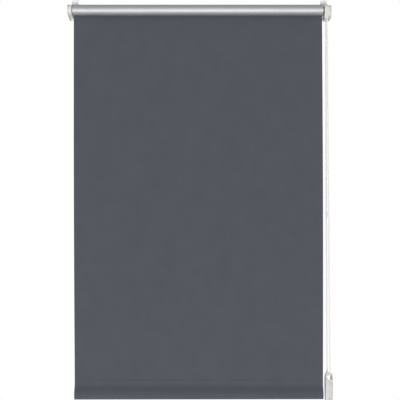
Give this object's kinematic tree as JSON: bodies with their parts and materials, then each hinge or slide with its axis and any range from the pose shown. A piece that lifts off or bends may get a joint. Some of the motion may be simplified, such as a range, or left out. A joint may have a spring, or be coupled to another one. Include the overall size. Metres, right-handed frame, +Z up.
{
  "type": "roller blind",
  "caption": "Clamp-on window roller blind: cloth on a tube between two sash hooks, with a side bead chain, a weighted hem and a chain pendant.",
  "frame": {"origin": "on the top front edge of the window sash that the two hooks hang on, midway between the brackets", "axes": "+X to the right seen from the room, +Y from the room towards the window, +Z up"},
  "size_m": [0.6044, 0.0584, 0.9482],
  "materials": {
    "white_plastic": "satin moulded, slightly creamy",
    "white_steel": "light grey-white powder coat",
    "zinc_steel": "bright zinc plate",
    "spring_steel": "drawn wire",
    "rubber": "soft, matt",
    "tube_aluminium": "mill finish, drawn",
    "silver_cloth": "smooth silver thermal coating",
    "grey_cloth": "plain fine weave, anthracite",
    "grey_plastic": "matt, anthracite",
    "chain_plastic": "white, smooth",
    "pendant_plastic": "off-white, satin",
    "black_plastic": "matt acetal"
  },
  "bodies": {
    "frame": {"left_bracket": "white_plastic", "right_bracket": "white_plastic", "left_cover_cap": "white_plastic", "right_cover_cap": "white_plastic", "left_hook_strap": "white_steel", "right_hook_strap": "white_steel", "left_strap_screw": "zinc_steel", "right_strap_screw": "zinc_steel", "left_strap_nut": "zinc_steel", "right_strap_nut": "zinc_steel", "left_front_pad": "rubber", "right_front_pad": "rubber", "chain_housing": "white_plastic", "clutch_core": "black_plastic", "core_screw": "zinc_steel", "cloth_sheet": "grey_cloth", "bead_chain_on_wheel": "chain_plastic"},
    "roller": {"roller_tube": "tube_aluminium", "cloth_roll": "silver_cloth", "drive_hub": "white_plastic", "idle_plug": "white_plastic"},
    "chain_drive": {"chain_wheel": "grey_plastic", "brake_spring_inner": "spring_steel", "brake_spring_outer": "spring_steel"},
    "hem": {"hem_pocket": "grey_cloth", "hem_bar": "tube_aluminium", "left_hem_cap": "grey_plastic", "right_hem_cap": "grey_plastic"},
    "pin": {"idle_pin": "white_plastic", "idle_spring": "spring_steel"},
    "chain": {"bead_chain": "chain_plastic", "chain_connector": "chain_plastic"},
    "pendant": {"pendant_body": "pendant_plastic", "pendant_slug": "zinc_steel", "pendant_plug": "pendant_plastic"},
    "left_screw": {"left_clamp_screw": "zinc_steel", "left_clamp_clip": "spring_steel"},
    "left_jaw": {"left_clamp_jaw": "white_steel", "left_rear_pad": "rubber"},
    "right_screw": {"right_clamp_screw": "zinc_steel", "right_clamp_clip": "spring_steel"},
    "right_jaw": {"right_clamp_jaw": "white_steel", "right_rear_pad": "rubber"}
  },
  "joints": [
    {"name": "roller_spin", "type": "hinge", "parent": "frame", "child": "roller", "pos_m": [0, -0.024, -0.034], "axis": [1, 0, 0], "range_deg": [0, 3820]},
    {"name": "chain_wheel_spin", "type": "hinge", "parent": "frame", "child": "chain_drive", "pos_m": [0.2895, -0.024, -0.034], "axis": [1, 0, 0], "range_deg": [0, 3820]},
    {"name": "hem_lift", "type": "slide", "parent": "frame", "child": "hem", "axis": [0, 0, 1], "range_m": [0, 0.814], "deforming": ["cloth_sheet"]},
    {"name": "idle_pin_slide", "type": "slide", "parent": "roller", "child": "pin", "axis": [1, 0, 0], "range_m": [0, 0.006], "stiffness_N_per_m": 250, "springref_m": -0.004, "deforming": ["idle_spring"]},
    {"name": "chain_swing", "type": "hinge", "parent": "frame", "child": "chain", "pos_m": [0.2895, -0.024, -0.0559], "axis": [0, 1, 0], "range_deg": [-7, 0.2]},
    {"name": "pendant_swing", "type": "hinge", "parent": "chain", "child": "pendant", "pos_m": [0.2941, -0.024, -0.8663], "axis": [-0.2588, 0.9659, 0], "range_deg": [-25, 25]},
    {"name": "left_screw_turn", "type": "hinge", "parent": "frame", "child": "left_screw", "pos_m": [-0.2865, 0, 0.0082], "axis": [0, 1, 0], "range_deg": [-2580, 2580]},
    {"name": "left_jaw_slide", "type": "slide", "parent": "frame", "child": "left_jaw", "axis": [0, 1, 0], "range_m": [-0.005, 0.005]},
    {"name": "right_screw_turn", "type": "hinge", "parent": "frame", "child": "right_screw", "pos_m": [0.2865, 0, 0.0082], "axis": [0, 1, 0], "range_deg": [-2580, 2580]},
    {"name": "right_jaw_slide", "type": "slide", "parent": "frame", "child": "right_jaw", "axis": [0, 1, 0], "range_m": [-0.005, 0.005]}
  ],
  "couplings": [
    {"joint": "chain_wheel_spin", "follows": "roller_spin", "ratio": 1},
    {"joint": "hem_lift", "follows": "roller_spin", "m_per_rad": 0.0122},
    {"joint": "left_screw_turn", "follows": "left_jaw_slide", "rad_per_m": 8976},
    {"joint": "right_screw_turn", "follows": "right_jaw_slide", "rad_per_m": 8976}
  ]
}
